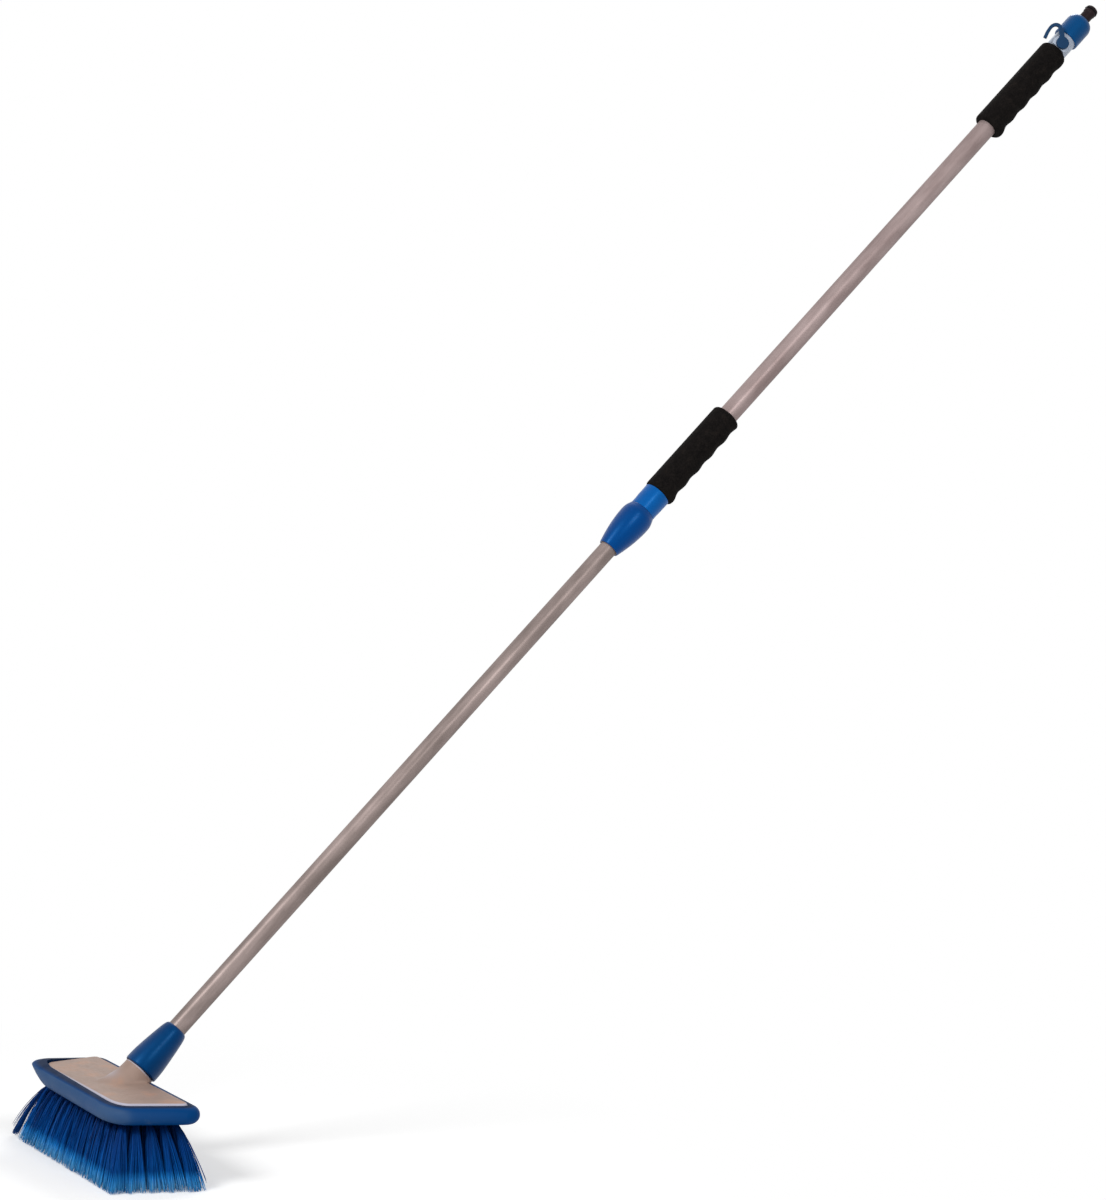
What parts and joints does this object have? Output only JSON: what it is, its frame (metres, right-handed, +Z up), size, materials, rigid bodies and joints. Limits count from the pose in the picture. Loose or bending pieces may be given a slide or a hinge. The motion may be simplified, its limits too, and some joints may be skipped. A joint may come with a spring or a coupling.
{
  "type": "telescopic water-fed wash brush",
  "caption": "Wash brush with a flared bristle head on a telescopic water-fed pole with a twist lock, foam grips and a shut-off valve.",
  "frame": {"origin": "middle of the flat plane of the bristle tips", "axes": "+X along the brush head, +Y level towards the side that the pole leans to, +Z up out of the bristles; the pole rises at 46.2 degrees in the YZ plane"},
  "size_m": [0.3048, 1.347, 1.4151],
  "materials": {
    "shell": "satin moulded plastic",
    "bumper": "soft matt rubber",
    "plate": "matt moulded plastic",
    "bristle": "flagged synthetic filament",
    "coupling_nut": "semi-gloss moulded plastic",
    "twist_lock": "semi-gloss moulded plastic",
    "tube": "satin anodised",
    "foam": "closed-cell foam",
    "housing": "satin moulded plastic",
    "dome": "semi-gloss moulded plastic",
    "lever": "satin moulded plastic",
    "nipple": "satin moulded plastic",
    "inner_plastic": "moulded acetal",
    "seal": "nitrile rubber",
    "ball": "plated, polished"
  },
  "bodies": {
    "handle": {"outer_tube": "tube", "lock_neck": "twist_lock", "lock_collet": "inner_plastic", "front_grip": "foam", "rear_grip": "foam", "valve_housing": "housing", "housing_ring": "seal", "lower_seat": "inner_plastic", "upper_seat": "inner_plastic", "valve_dome": "dome", "hose_nipple": "nipple", "nipple_ring": "seal"},
    "slider": {"piston": "inner_plastic", "piston_ring": "seal"},
    "inner_pole": {"inner_tube": "tube", "tube_end": "inner_plastic"},
    "head_nut": {"head_nut": "coupling_nut"},
    "head": {"head_shell": "shell", "bumper": "bumper", "bristle_block": "plate", "bristle_row_1": "bristle", "bristle_row_2": "bristle", "bristle_row_3": "bristle", "bristle_row_4": "bristle", "bristle_row_5": "bristle", "head_seal": "seal"},
    "lock_nut": {"lock_nut": "twist_lock"},
    "valve": {"valve_ball": "ball", "valve_stem": "inner_plastic", "stem_ring": "seal", "valve_lever": "lever"}
  },
  "joints": [
    {"name": "inner_slide", "type": "slide", "parent": "handle", "child": "slider", "axis": [0, 0.6921, 0.7218], "range_m": [0, 0.7]},
    {"name": "inner_turn", "type": "hinge", "parent": "slider", "child": "inner_pole", "pos_m": [0, 0.61091, 0.70449], "axis": [0, 0.6921, 0.7218], "continuous": true},
    {"name": "head_nut_turn", "type": "hinge", "parent": "inner_pole", "child": "head_nut", "pos_m": [0, 0.05595, 0.12578], "axis": [0, 0.6921, 0.7218], "range_deg": [0, 1800]},
    {"name": "head_slide", "type": "slide", "parent": "inner_pole", "child": "head", "axis": [0, -0.6921, -0.7218], "range_m": [0, 0.02]},
    {"name": "lock_nut_turn", "type": "hinge", "parent": "handle", "child": "lock_nut", "pos_m": [0, 0.63181, 0.72628], "axis": [0, -0.6921, -0.7218], "range_deg": [0, 120]},
    {"name": "valve_turn", "type": "hinge", "parent": "handle", "child": "valve", "pos_m": [0, 1.23536, 1.35566], "axis": [0.8988, -0.3164, 0.3034], "range_deg": [-90, 0]}
  ],
  "couplings": [
    {"joint": "head_nut_turn", "follows": "head_slide", "rad_per_m": 1570.8}
  ]
}
